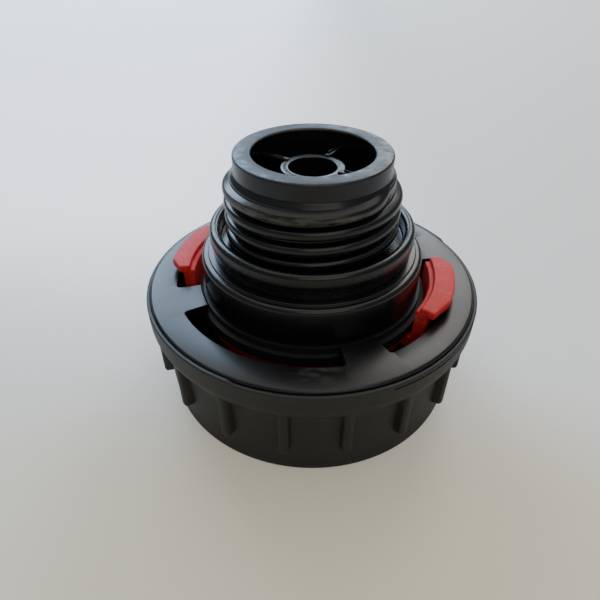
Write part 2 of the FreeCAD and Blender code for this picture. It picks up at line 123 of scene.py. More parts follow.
def section(corners: Sequence[Corner], segments: int = 4) -> BMesh:
    """Closed outline in the plane of azimuth 0 with rounded corners.

    Args:
        corners: radius, height and how far back each corner is rounded, in order.
        segments: facets of each rounded corner.

    Returns:
        A mesh that holds the outline as edges.
    """
    mesh = bmesh.new()
    verts = [mesh.verts.new((radius, 0.0, height)) for radius, height, _ in corners]
    mesh.faces.new(verts)
    roundings = sorted({corner[2] for corner in corners if corner[2] > 0.0})
    groups = {size: [v for v, corner in zip(verts, corners) if corner[2] == size] for size in roundings}
    for size, group in groups.items():
        bevel(mesh, group, size, segments, "VERTICES")
    bmesh.ops.delete(mesh, geom=mesh.faces[:], context="FACES_ONLY")
    on_axis = [e for e in mesh.edges if all(abs(v.co.x) < WELD_DISTANCE for v in e.verts)]
    bmesh.ops.delete(mesh, geom=on_axis, context="EDGES")
    return mesh


def close_mesh(mesh: BMesh) -> None:
    """Weld doubled points and turn every face outwards."""
    bmesh.ops.remove_doubles(mesh, verts=mesh.verts[:], dist=WELD_DISTANCE)
    bmesh.ops.recalc_face_normals(mesh, faces=mesh.faces[:])


def swing(mesh: BMesh, geom: list, angle: float, steps: int, **options: object) -> None:
    """Spin some geometry about the cap's axis.

    Args:
        mesh: mesh to change.
        geom: what is spun.
        angle: degrees in all.
        steps: facets or copies along the way.
        options: further settings of the spin.
    """
    centre = (0.0, 0.0, 0.0)
    bmesh.ops.spin(mesh, geom=geom, cent=centre, axis=AXIS, angle=math.radians(angle), steps=steps, **options)


def turn_mesh(mesh: BMesh, azimuth: float) -> None:
    """Turn a whole mesh about the cap's axis by an azimuth."""
    matrix = Matrix.Rotation(math.radians(azimuth), 3, AXIS)
    bmesh.ops.rotate(mesh, verts=mesh.verts[:], cent=(0.0, 0.0, 0.0), matrix=matrix)


def repeat_round(mesh: BMesh, count: int) -> None:
    """Repeat a whole mesh evenly about the cap's axis."""
    whole = mesh.verts[:] + mesh.edges[:] + mesh.faces[:]
    swing(mesh, whole, 360.0 * (count - 1) / count, count - 1, use_duplicate=True)


def turned(corners: Sequence[Corner], steps: int, segments: int = 4) -> BMesh:
    """Full turning of an outline about the cap's axis, made as equal sectors.

    Args:
        corners: radius, height and rounding of each corner.
        steps: facets round the axis, a multiple of the number of sectors.
        segments: facets of each rounded corner.

    Returns:
        A closed mesh.
    """
    mesh = section(corners, segments)
    swing(mesh, mesh.verts[:] + mesh.edges[:], 360.0 / TURNING_SECTORS, steps // TURNING_SECTORS)
    repeat_round(mesh, TURNING_SECTORS)
    close_mesh(mesh)
    return mesh


def sector_of(
    corners: Sequence[Corner], start: float, span: float, steps: int, rise: float = 0.0, segments: int = 4
) -> BMesh:
    """Part of a turning, or of a screw, with its two ends closed.

    Args:
        corners: radius, height and rounding of each corner.
        start: azimuth of the first end.
        span: degrees from the first end to the second.
        steps: facets along the span.
        rise: height gained over the span.
        segments: facets of each rounded corner.

    Returns:
        A closed mesh.
    """
    mesh = section(corners, segments)
    swing(mesh, mesh.verts[:] + mesh.edges[:], span, steps, dvec=(0.0, 0.0, rise / steps))
    ends = [edge for edge in mesh.edges if edge.is_boundary]
    bmesh.ops.holes_fill(mesh, edges=ends, sides=0)
    close_mesh(mesh)
    turn_mesh(mesh, start)
    return mesh


def bevel(mesh: BMesh, geom: Iterable, size: float, segments: int, affect: str = "EDGES") -> None:
    """Round some edges or corners of a mesh.

    Args:
        mesh: mesh to change.
        geom: edges, or the corners of a flat face.
        size: how far back the rounding starts.
        segments: facets across the rounding.
        affect: EDGES or VERTICES.
    """
    bmesh.ops.bevel(
        mesh, geom=list(geom), offset=size, offset_type="OFFSET", affect=affect,
        segments=segments, profile=0.5, material=-1, clamp_overlap=affect == "EDGES",
    )


def sharp_edges(mesh: BMesh, limit: float) -> list[BMEdge]:
    """Edges whose two faces meet at more than a limit in degrees."""
    least = math.radians(limit)
    return [edge for edge in mesh.edges if len(edge.link_faces) == 2 and edge.calc_face_angle(0.0) > least]


def bar(size: Vector, centre: Vector, rounding: float) -> BMesh:
    """Rounded bar.

    Args:
        size: full length along x, y and z.
        centre: middle of the bar.
        rounding: rounding of its edges.

    Returns:
        A closed mesh.
    """
    mesh = bmesh.new()
    bmesh.ops.create_cube(mesh, size=1.0)
    bmesh.ops.scale(mesh, vec=size, verts=mesh.verts[:])
    bmesh.ops.translate(mesh, vec=centre, verts=mesh.verts[:])
    bevel(mesh, mesh.edges[:], rounding, 3)
    return mesh


def join(meshes: Sequence[BMesh]) -> BMesh:
    """One mesh from several, which are used up."""
    whole = bmesh.new()
    for mesh in meshes:
        data = bpy.data.meshes.new("join")
        mesh.to_mesh(data)
        mesh.free()
        whole.from_mesh(data)
        bpy.data.meshes.remove(data)
    return whole


@dataclass(frozen=True)
class Piece:
    """What a finished piece stands for in the frame."""

    name: str
    node: str
    body: Body
    slot: Slot
    crease: float = 35.0

    def finish(self, mesh: BMesh, material: Material) -> Object:
        """Make the object, in metres, and tie it to the frame.

        Args:
            mesh: the piece in millimetres, which is used up.
            material: its finish.

        Returns:
            The object that stands for the CAD node.
        """
        bmesh.ops.scale(mesh, vec=Vector((1.0, 1.0, 1.0)) * METRES_PER_MM, verts=mesh.verts[:])
        data = bpy.data.meshes.new(self.name)
        mesh.to_mesh(data)
        mesh.free()
        data.polygons.foreach_set("use_smooth", [True] * len(data.polygons))
        data.set_sharp_from_angle(angle=math.radians(self.crease))
        data.materials.append(material)
        piece = bpy.data.objects.new(self.name, data)
        bpy.context.scene.collection.objects.link(piece)
        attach(piece, self.body.value)
        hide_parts(self.node)
        LOG.info("%s: %d faces on %s", self.name, len(data.polygons), self.body.value)
        return piece


class Shader:
    """Node tree of one material, with short ways to add what the finishes need."""

    def __init__(self, name: str) -> None:
        """Start a material with a bare Principled surface."""
        self.material = bpy.data.materials.new(name)
        self.material.use_nodes = True
        self.tree = self.material.node_tree
        self.surface = self.tree.nodes["Principled BSDF"]
        self.place = self.tree.nodes.new("ShaderNodeTexCoord").outputs["Object"]

    def link(self, source: NodeSocket, target: NodeSocket) -> None:
        """Join two sockets."""
        self.tree.links.new(source, target)

    def feed(self, target: NodeSocket, value: object) -> None:
        """Set a socket to a number or colour, or link another socket to it."""
        if isinstance(value, NodeSocket):
            self.link(value, target)
        else:
            target.default_value = (*value, 1.0) if target.type == "RGBA" else value

    def add(self, kind: str, inputs: dict[str, object]) -> Node:
        """New node with some inputs set or linked by name."""
        node = self.tree.nodes.new(kind)
        for name, value in inputs.items():
            self.feed(node.inputs[name], value)
        return node

    def stretched(self, scale: Sequence[float], turn: float = 0.0) -> NodeSocket:
        """Object coordinates scaled per axis and turned about z by some degrees."""
        turns = (0.0, 0.0, math.radians(turn))
        node = self.add("ShaderNodeMapping", {"Vector": self.place, "Scale": scale, "Rotation": turns})
        return node.outputs["Vector"]

    def noise(
        self, size_mm: float, detail: float = 2.0, roughness: float = 0.5, place: NodeSocket | None = None
    ) -> NodeSocket:
        """Smooth noise.

        Args:
            size_mm: width of its largest blots.
            detail: octaves of finer noise.
            roughness: how strong the finer noise is.
            place: coordinates to read in place of the object's own.

        Returns:
            The noise's value, about 0.5 on average.
        """
        scale = 1.0 / (size_mm * METRES_PER_MM)
        inputs = {"Vector": place or self.place, "Scale": scale, "Detail": detail, "Roughness": roughness}
        return self.add("ShaderNodeTexNoise", inputs).outputs["Fac"]

    def maths(self, operation: str, first: object, second: object = 0.0) -> NodeSocket:
        """Result of a Math node on two numbers or sockets."""
        node = self.tree.nodes.new("ShaderNodeMath")
        node.operation = operation
        self.feed(node.inputs[0], first)
        self.feed(node.inputs[1], second)
        return node.outputs[0]

    def ease(self, value: NodeSocket, low: float, high: float) -> NodeSocket:
        """Smooth step of a socket from 0 at low to 1 at high; low may be the larger."""
        rising = low < high
        span = {"From Min": min(low, high), "From Max": max(low, high)}
        ends = {"To Min": 0.0 if rising else 1.0, "To Max": 1.0 if rising else 0.0}
        node = self.add("ShaderNodeMapRange", {"Value": value, **span, **ends})
        node.interpolation_type = "SMOOTHSTEP"
        return node.outputs["Result"]

    def ease_mm(self, value: NodeSocket, low: float, high: float) -> NodeSocket:
        """Smooth step of a length between two lengths in millimetres."""
        return self.ease(value, low * METRES_PER_MM, high * METRES_PER_MM)

    def plus(self, first: object, second: object) -> NodeSocket:
        """Sum of two numbers or sockets."""
        return self.maths("ADD", first, second)

    def times(self, *values: object) -> NodeSocket:
        """Product of several numbers or sockets."""
        result = values[0]
        for value in values[1:]:
            result = self.maths("MULTIPLY", result, value)
        return result

    def uneven(self, pattern: NodeSocket, span: float, middle: float) -> NodeSocket:
        """Pattern scaled to a span about a middle value."""
        return self.plus(self.times(self.plus(pattern, -0.5), span), middle)

    def blend(self, share: object, first: object, second: object) -> NodeSocket:
        """Colour between two colours.

        Args:
            share: 0 gives the first, 1 the second.
            first: colour or socket.
            second: colour or socket.

        Returns:
            The mixed colour.
        """
        node = self.tree.nodes.new("ShaderNodeMix")
        node.data_type = "RGBA"
        self.feed(node.inputs[0], share)
        self.feed(node.inputs[6], first)
        self.feed(node.inputs[7], second)
        return node.outputs[2]

    def axes(self) -> tuple[NodeSocket, NodeSocket, NodeSocket]:
        """The x, y and z of the object's coordinates, in metres."""
        return tuple(self.add("ShaderNodeSeparateXYZ", {"Vector": self.place}).outputs)

    def reach(self, centre: tuple[float, float] = (0.0, 0.0)) -> NodeSocket:
        """Distance in metres from an upright line, which stands at x and y in millimetres."""
        across, along, _ = self.axes()
        side = self.plus(across, -centre[0] * METRES_PER_MM)
        depth = self.plus(along, -centre[1] * METRES_PER_MM)
        return self.maths("SQRT", self.plus(self.times(side, side), self.times(depth, depth)))

    def azimuth(self) -> NodeSocket:
        """Azimuth in radians, from -pi to pi."""
        across, along, _ = self.axes()
        return self.maths("ARCTAN2", along, across)

    def relief(
        self, height: NodeSocket, depth_mm: float, under: NodeSocket | None = None
    ) -> NodeSocket:
        """Bump of the given depth.

        Args:
            height: pattern from 0 to 1.
            depth_mm: height that 1 stands for.
            under: normal of a coarser bump below this one.

        Returns:
            The new normal.
        """
        node = self.add("ShaderNodeBump", {"Height": height, "Distance": depth_mm * METRES_PER_MM})
        if under is not None:
            self.link(under, node.inputs["Normal"])
        return node.outputs["Normal"]

    def finish(self, colour: object, roughness: object, normal: NodeSocket | None = None) -> Material:
        """Connect the surface and hand the material over."""
        self.feed(self.surface.inputs["Base Color"], colour)
        self.feed(self.surface.inputs["Roughness"], roughness)
        if normal is not None:
            self.link(normal, self.surface.inputs["Normal"])
        return self.material


@dataclass(frozen=True)
class MouldedPlastic:
    """Plastic with a fine moulded grain, cloudy patches and light rubbing; on the red, the rubbed speckles
    are painted glints of its satin grain.
    """

    name: str
    colour: Colour
    # Colour of the rubbed speckles; on the red it stands for painted glints and sheen.
    rubbed: Colour
    roughness: float
    grain_size: float
    grain_depth: float
    patch_size: float = 14.0
    patch_range: Range = (0.42, 0.72)
    rub_share: float = 0.5
    specular: float = 0.5
    speckle_scale: float = 2.2
    speckle_range: Range = (0.35, 0.7)
    unevenness: float = 0.25

    def material(self) -> Material:
        """Build the material."""
        shader = Shader(self.name)
        patches = shader.noise(self.patch_size, detail=4.0, roughness=0.6)
        speckle = shader.noise(self.grain_size * self.speckle_scale)
        # Rubbed speckles, which on the red are painted glints of the grain.
        rub_and_glint = shader.times(shader.ease(patches, *self.patch_range), shader.ease(speckle, *self.speckle_range))
        share = shader.times(rub_and_glint, self.rub_share)
        colour = shader.blend(share, self.colour, self.rubbed)
        roughness = shader.uneven(patches, self.unevenness, self.roughness)
        grain = shader.noise(self.grain_size, detail=3.0, roughness=0.65)
        shader.surface.inputs["Specular IOR Level"].default_value = self.specular
        return shader.finish(colour, roughness, shader.relief(grain, self.grain_depth))


@dataclass(frozen=True)
class SatinPlate:
    """Satin black plate with cloudy haze and a whitish scuff at the front."""

    colour: Colour = (0.006, 0.006, 0.0065)
    scuffed: Colour = (0.11, 0.11, 0.10)
    roughness: float = 0.3
    unevenness: float = 0.2
    scuff_centre: tuple[float, float] = (1.5, -36.0)
    scuff_fade: Range = (9.0, 1.0)
    scuff_range: Range = (0.42, 0.7)
    scuff_share: float = 0.5
    scuff_dulling: float = 0.35
    smear_stretch: tuple[float, float, float] = (1.0, 2.6, 1.0)
    smear_turn: float = 18.0
    haze_range: Range = (0.4, 0.8)
    haze_share: float = 0.14
    cloud_range: Range = (0.45, 0.75)
    wave_depth: float = 0.02
    grain_depth: float = 0.003

    def material(self) -> Material:
        """Build the material."""
        shader = Shader("satin_plate")
        near = shader.ease_mm(shader.reach(self.scuff_centre), *self.scuff_fade)
        stretched = shader.stretched(self.smear_stretch, self.smear_turn)
        smears = shader.noise(5.0, detail=5.0, roughness=0.65, place=stretched)
        clouds = shader.noise(22.0, detail=3.0, roughness=0.6)
        scuff = shader.times(near, shader.ease(smears, *self.scuff_range), self.scuff_share)
        cloudy = shader.ease(clouds, *self.cloud_range)
        haze = shader.times(cloudy, shader.ease(smears, *self.haze_range), self.haze_share)
        share = shader.maths("MAXIMUM", scuff, haze)
        colour = shader.blend(share, self.colour, self.scuffed)
        roughness = shader.uneven(clouds, self.unevenness, self.roughness)
        roughness = shader.plus(roughness, shader.times(share, self.scuff_dulling))
        waves = shader.relief(shader.noise(7.0, detail=3.0), self.wave_depth)
        normal = shader.relief(shader.noise(0.5, detail=3.0, roughness=0.6), self.grain_depth, waves)
        return shader.finish(colour, roughness, normal)


@dataclass(frozen=True)
class GlossyNeck:
    """Glossy moulded black, with streaks on the mouth's face that carry a painted bluish reflection, and worn
    on the first thread ridge.

    Each fade is a pair of radii, heights or depths between which a mask goes from 0 to 1.
    """

    colour: Colour = (0.006, 0.006, 0.0063)
    worn: Colour = (0.13, 0.115, 0.09)
    # Streak colour, partly real marks and partly tinted bluish as a painted reflection of the daylight.
    streak_and_blue_reflection: Colour = (0.03, 0.033, 0.038)
    roughness: float = 0.24
    unevenness: float = 0.16
    mouth_fade: Range = (67.0, 67.2)
    streak_stretch: tuple[float, float, float] = (1.0, 1.0, 0.2)
    streak_range: Range = (0.2, 0.75)
    crest_fade: Range = (21.35, 22.1)
    crest_end: Range = (22.65, 22.35)
    ridge_bottom: Range = (58.1, 59.2)
    ridge_top: Range = (61.4, 60.4)
    front_fade: Range = (-3.0, -13.0)
    thread_foot: Range = (45.5, 47.5)
    brush_radius: float = 0.006
    ridge_range: Range = (0.35, 0.62)
    rub_range: Range = (0.5, 0.8)
    rub_share: float = 0.2
    wear_share: float = 0.8
    wear_dulling: float = 0.28
    foot_fade: Range = (31.8, 31.2)
    foot_dulling: float = 0.45
    wave_depth: float = 0.008
    scratch_depth: float = 0.0015

    def wear(self, shader: Shader) -> NodeSocket:
        """Wear along the thread's crest, strongest on the front of the first ridge."""
        _, along, height = shader.axes()
        radius = shader.reach()
        run = shader.times(shader.azimuth(), self.brush_radius)
        around = shader.add("ShaderNodeCombineXYZ", {"X": run, "Y": height})
        brushed = shader.noise(1.3, detail=4.0, roughness=0.65, place=around.outputs["Vector"])
        crest = shader.ease_mm(radius, *self.crest_fade)
        ridge = shader.times(
            crest,
            shader.ease_mm(height, *self.ridge_bottom),
            shader.ease_mm(height, *self.ridge_top),
            shader.ease_mm(along, *self.front_fade),
            shader.ease(brushed, *self.ridge_range),
        )
        rubbed = shader.times(
            crest,
            shader.ease_mm(height, *self.thread_foot),
            shader.ease_mm(radius, *self.crest_end),
            shader.ease(brushed, *self.rub_range),
            self.rub_share,
        )
        return shader.maths("MAXIMUM", ridge, rubbed)

    def material(self) -> Material:
        """Build the material."""
        shader = Shader("glossy_neck")
        _, _, height = shader.axes()
        stretched = shader.stretched(self.streak_stretch)
        streaks = shader.noise(2.4, detail=5.0, roughness=0.7, place=stretched)
        wear = self.wear(shader)
        # Streaks on the mouth's face: partly real marks, partly a painted bluish reflection.
        face = shader.ease_mm(height, *self.mouth_fade)
        mouth = shader.times(face, shader.ease(streaks, *self.streak_range))
        colour = shader.blend(mouth, self.colour, self.streak_and_blue_reflection)
        colour = shader.blend(shader.times(wear, self.wear_share), colour, self.worn)
        dull = shader.times(shader.maths("MAXIMUM", wear, mouth), self.wear_dulling)
        sunk = shader.times(shader.ease_mm(height, *self.foot_fade), self.foot_dulling)
        roughness = shader.uneven(streaks, self.unevenness, self.roughness)
        roughness = shader.plus(shader.plus(roughness, dull), sunk)
        waves = shader.relief(shader.noise(4.0), self.wave_depth)
        scratches = shader.noise(1.1, detail=4.0, roughness=0.7)
        return shader.finish(colour, roughness, shader.relief(scratches, self.scratch_depth, waves))


@dataclass(frozen=True)
class SmoothRubber:
    """Smooth black rubber with faint dust."""

    colour: Colour = (0.004, 0.004, 0.004)
    dusty: Colour = (0.03, 0.027, 0.022)
    roughness: float = 0.24
    dust_range: Range = (0.5, 0.8)
    dust_share: float = 0.35
    dust_dulling: float = 0.2
    wave_depth: float = 0.004

    def material(self) -> Material:
        """Build the material."""
        shader = Shader("smooth_rubber")
        dust = shader.ease(shader.noise(1.6, detail=5.0, roughness=0.7), *self.dust_range)
        colour = shader.blend(shader.times(dust, self.dust_share), self.colour, self.dusty)
        roughness = shader.plus(shader.times(dust, self.dust_dulling), self.roughness)
        return shader.finish(colour, roughness, shader.relief(shader.noise(6.0, detail=1.0), self.wave_depth))


@dataclass(frozen=True)
class DrawnSteel:
    """Bright spring wire with faint drawing marks."""

    colour: Colour = (0.56, 0.56, 0.58)
    marked: Colour = (0.35, 0.34, 0.33)
    roughness: float = 0.3
    mark_share: float = 0.4
    mark_dulling: float = 0.15
    mark_depth: float = 0.004

    def material(self) -> Material:
        """Build the material."""
        shader = Shader("drawn_steel")
        shader.surface.inputs["Metallic"].default_value = 1.0
        marks = shader.noise(0.6, detail=4.0, roughness=0.7)
        colour = shader.blend(shader.times(marks, self.mark_share), self.colour, self.marked)
        roughness = shader.plus(shader.times(marks, self.mark_dulling), self.roughness)
        return shader.finish(colour, roughness, shader.relief(marks, self.mark_depth))


class Part:
    """Modelled part that stands for one CAD node."""

    piece: Piece

    def shape(self) -> BMesh:
        """Model the part in millimetres."""
        raise NotImplementedError

    def build(self, material: Material) -> Object:
        """Model and dress the part."""
        return self.piece.finish(self.shape(), material)


@dataclass
class Grip(Part):
    """Moulded cup with a ribbed skirt that flares into a stepped rim."""

    piece = Piece("ribbed_grip", "grip", Body.GRIP, Slot.GRIP)
    steps: int = 1080
    wall: float = 2.5
    skirt_radius: float = 42.2
    base_radius: float = 41.4
    skirt_top: float = 19.5
    band_bottom: float = 27.4
    rim_top: float = 32.0
    rim_step: float = 0.5
    rim_lip: float = 0.95
    mouth_floor: float = 29.8
    recess_radius: float = 34.0
    recess_depth: float = 0.8
    rib_count: int = 18
    rib_first: float = -97.8
    rib_width: float = 2.8
    rib_crest: float = 44.15
    rib_bottom: float = 9.4
    rib_rounding: float = 1.15
    groove_height: float = 30.4
    groove_half: float = 0.2
    groove_depth: float = 0.4
    bead_start: float = -66.0
    bead_span: float = 90.0
    low_span: float = 45.0
    rim_ease: float = 3.0
    groove_ease: float = 0.5
    groove_edge: float = 0.08
    groove_side_share: float = 0.7
    plain_rows: tuple[float, ...] = (2.2, 5.5, 14.5, 17.0)
    rib_row_lead: float = 0.6
    rib_row_gap: float = 0.28
    rib_row_count: int = 13

    def flare(self, steps: int = 9) -> list[Corner]:
        """Outer line of the flare: two equal arcs that meet half way."""
        rise = self.band_bottom - self.skirt_top
        reach = CAP_RADIUS - self.skirt_radius
        radius = (reach**2 + rise**2) / (4.0 * reach)
        turn = math.asin(rise / 2.0 / radius)
        lower = [turn * index / steps for index in range(steps + 1)]
        upper = [turn * (1.0 - index / steps) for index in range(1, steps + 1)]
        points = []
        for turn in lower:
            inward = radius * (1.0 - math.cos(turn))
            points.append((self.skirt_radius + inward, self.skirt_top + radius * math.sin(turn), 0.0))
        for turn in upper:
            inward = radius * (1.0 - math.cos(turn))
            points.append((CAP_RADIUS - inward, self.band_bottom - radius * math.sin(turn), 0.0))
        return points

    def outline(self) -> list[Corner]:
        """Outline of the cup, with extra heights where the ribs end."""
        inner_top = CAP_RADIUS - self.wall - self.rim_lip
        mouth = CAP_RADIUS - self.rim_lip
        inner = self.skirt_radius - self.wall
        first_row = self.rib_bottom - self.rib_row_lead
        rib_rows = [first_row + self.rib_row_gap * index for index in range(self.rib_row_count)]
        heights = sorted([*self.plain_rows, *rib_rows])
        lean = (self.skirt_radius - self.base_radius) / self.skirt_top
        skirt = [(self.base_radius + lean * height, height, 0.0) for height in heights]
        low, high = self.groove_height - self.groove_half, self.groove_height + self.groove_half
        corners = [(0.0, self.recess_depth, 0.0), (self.recess_radius, self.recess_depth, 0.0)]
        corners += [(self.recess_radius, 0.0, 0.3), (self.base_radius, 0.0, 1.2)]
        corners += skirt + self.flare()
        groove = (low - self.groove_edge, low, self.groove_height, high, high + self.groove_edge)
        corners += [(CAP_RADIUS, height, 0.0) for height in groove]
        corners += [(CAP_RADIUS, self.rim_top, 0.3), (mouth, self.rim_top, 0.2)]
        corners += [(mouth, self.mouth_floor, 0.0), (inner_top, self.mouth_floor, 0.0)]
        corners += [(inner_top, self.band_bottom - self.wall, 0.0), (inner, self.skirt_top, 0.0)]
        corners += [(inner, self.wall, 0.0), (0.0, self.wall, 0.0)]
        return corners

    def rib_radius(self, azimuth: float, height: float) -> float:
        """Radius that the nearest rib reaches at a place on the skirt.

        Args:
            azimuth: degrees.
            height: millimetres.

        Returns:
            The radius, or 0 away from every rib.
        """
        pitch = 360.0 / self.rib_count
        offset = (azimuth - self.rib_first + pitch / 2.0) % pitch - pitch / 2.0
        side = abs(math.radians(offset)) * self.rib_crest
        half = self.rib_width / 2.0
        below = max(self.rib_bottom + half - height, 0.0)
        reach = math.hypot(side, below)
        if reach > half:
            return 0.0
        inside = max(reach - (half - self.rib_rounding), 0.0)
        return self.rib_crest - self.rib_rounding + math.sqrt(self.rib_rounding**2 - inside**2)

    def shape(self) -> BMesh:
        """Turn the cup, raise the ribs and step the rim."""
        mesh = turned(self.outline(), self.steps)
        for vert in mesh.verts:
            radius = math.hypot(vert.co.x, vert.co.y)
            height = vert.co.z
            azimuth = azimuth_of(vert.co)
            half_turn = turn_from(self.bead_start, azimuth) % 180.0
            wanted = radius
            if radius > self.base_radius and self.plain_rows[0] < height < self.band_bottom:
                wanted = max(radius, self.rib_radius(azimuth, height))
            from_groove = abs(height - self.groove_height)
            if from_groove < self.groove_half + 0.01 and radius > CAP_RADIUS - 0.1:
                share = 1.0 if from_groove < 0.01 else self.groove_side_share
                start = smoothstep(0.0, self.groove_ease, half_turn)
                end = smoothstep(self.bead_span, self.bead_span - self.groove_ease, half_turn)
                wanted = radius - self.groove_depth * share * start * end
            if height > self.groove_height + 2.0 * self.groove_half:
                low_ahead = 180.0 - self.low_span
                fall = smoothstep(low_ahead - self.rim_ease, low_ahead, half_turn)
                rise = smoothstep(self.bead_span + self.rim_ease, self.bead_span, half_turn)
                vert.co.z -= self.rim_step * max(fall, rise)
            if wanted != radius:
                vert.co.x *= wanted / radius
                vert.co.y *= wanted / radius
        bmesh.ops.recalc_face_normals(mesh, faces=mesh.faces[:])
        return mesh


@dataclass
class RetainingPlate(Part):
    """Flat ring with four fingers, whose windows have rounded outer corners."""

    piece = Piece("fingered_plate", "retaining_plate", Body.GRIP, Slot.PLATE, 30.0)
    top: float = 32.4
    thickness: float = 2.6
    outer_radius: float = 43.95
    window_radius: float = 36.9
    finger_radius: float = 30.5
    finger_count: int = 4
    finger_first: float = -68.5
    finger_span: float = 17.0
    corner_radius: float = 1.0
    step: float = 0.5
    edge_rounding: float = 0.22
    rim_rounding: float = 0.7
    fillet_facets: int = 6
    sharp_angle: float = 60.0
    seam_weld: float = 0.01

    def finger(self) -> BMesh:
        """One finger as a flat face, with the fillets at its root."""
        mesh = bmesh.new()
        half = self.finger_span / 2.0
        tangent = self.window_radius - self.corner_radius
        radii = (self.finger_radius, tangent, self.window_radius)
        verts = [mesh.verts.new((radius, 0.0, 0.0)) for radius in radii]
        edges = [mesh.edges.new(pair) for pair in zip(verts, verts[1:])]
        steps = round(self.finger_span / self.step)
        swing(mesh, verts + edges, self.finger_span, steps)
        turn_mesh(mesh, -half)
        for side in (-1.0, 1.0):
            self.fillet(mesh, side)
        bmesh.ops.remove_doubles(mesh, verts=mesh.verts[:], dist=WELD_DISTANCE)
        return mesh

    def fillet(self, mesh: BMesh, side: float) -> None:
        """Fill the corner between a finger's flank and the ring.

        Args:
            mesh: flat finger to add to.
            side: -1 or 1, the flank.
        """
        flank = self.finger_span / 2.0
        steps = round(math.degrees(self.corner_radius / self.window_radius) / self.step)
        points = []
        for index in range(self.fillet_facets + 1):
            angle = math.pi / 2.0 * index / self.fillet_facets
            radius = self.window_radius - self.corner_radius * (1.0 - math.sin(angle))
            points.append((radius, flank + steps * self.step * (1.0 - math.cos(angle))))
        for index in range(steps - 1, -1, -1):
            points.append((self.window_radius, flank + index * self.step))
        mesh.faces.new([mesh.verts.new(heading(side * azimuth) * radius) for radius, azimuth in points])

    def top_edges(self, mesh: BMesh, outer: bool) -> list[BMEdge]:
        """Sharp edges of the top face: those of its outer rim, or the others."""
        rim = self.outer_radius - self.seam_weld
        level = self.top - 1e-3
        edges = [e for e in sharp_edges(mesh, self.sharp_angle) if all(v.co.z > level for v in e.verts)]
        return [e for e in edges if all(v.co.xy.length > rim for v in e.verts) == outer]

    def shape(self) -> BMesh:
        """Flat outline, thickened and with its edges rounded."""
        flat = self.finger()
        turn_mesh(flat, self.finger_first)
        repeat_round(flat, self.finger_count)
        ring = bmesh.new()
        verts = [ring.verts.new((radius, 0.0, 0.0)) for radius in (self.window_radius, self.outer_radius)]
        edge = ring.edges.new(verts)
        swing(ring, verts + [edge], 360.0, round(360.0 / self.step), use_merge=True)
        mesh = join([flat, ring])
        bmesh.ops.remove_doubles(mesh, verts=mesh.verts[:], dist=self.seam_weld)
        bmesh.ops.translate(mesh, vec=(0.0, 0.0, self.top - self.thickness), verts=mesh.verts[:])
        bmesh.ops.recalc_face_normals(mesh, faces=mesh.faces[:])
        lifted = bmesh.ops.extrude_face_region(mesh, geom=mesh.faces[:], use_keep_orig=True)
        raised = [item for item in lifted["geom"] if isinstance(item, BMVert)]
        bmesh.ops.translate(mesh, vec=(0.0, 0.0, self.thickness), verts=raised)
        close_mesh(mesh)
        bevel(mesh, self.top_edges(mesh, outer=False), self.edge_rounding, 3)
        bevel(mesh, self.top_edges(mesh, outer=True), self.rim_rounding, 5)
        return mesh


@dataclass(frozen=True)
class SawTeeth:
    """Ring of saw teeth, of one size on both halves of the ratchet."""

    count: int = 24
    inner: float = 26.9
    outer: float = 29.2
    height: float = 1.2
    steep: float = 1.125
    embed: float = 0.2

    def build(self, face: float, upward: float, shift: float) -> BMesh:
        """Build the ring.

        Args:
            face: height of the face that the teeth stand on.
            upward: 1 if they point up, -1 if down.
            shift: azimuth of the first tooth's middle.

        Returns:
            A mesh of closed teeth.
        """
        half = 180.0 / self.count
        root = face - upward * self.embed
        tip = face + upward * self.height
        mesh = bmesh.new()
        profile = []
        for azimuth, height in ((-half, root), (half, root), (upward * (self.steep - half), tip)):
            profile.append(mesh.verts.new(heading(azimuth) * self.inner + AXIS * height))
        cap = mesh.faces.new(profile)
        grown = bmesh.ops.extrude_face_region(mesh, geom=[cap], use_keep_orig=True)
        moved = [item for item in grown["geom"] if isinstance(item, BMVert)]
        share = self.outer / self.inner
        bmesh.ops.scale(mesh, vec=(share, share, 1.0), verts=moved)
        bmesh.ops.recalc_face_normals(mesh, faces=mesh.faces[:])
        turn_mesh(mesh, shift)
        repeat_round(mesh, self.count)
        return mesh


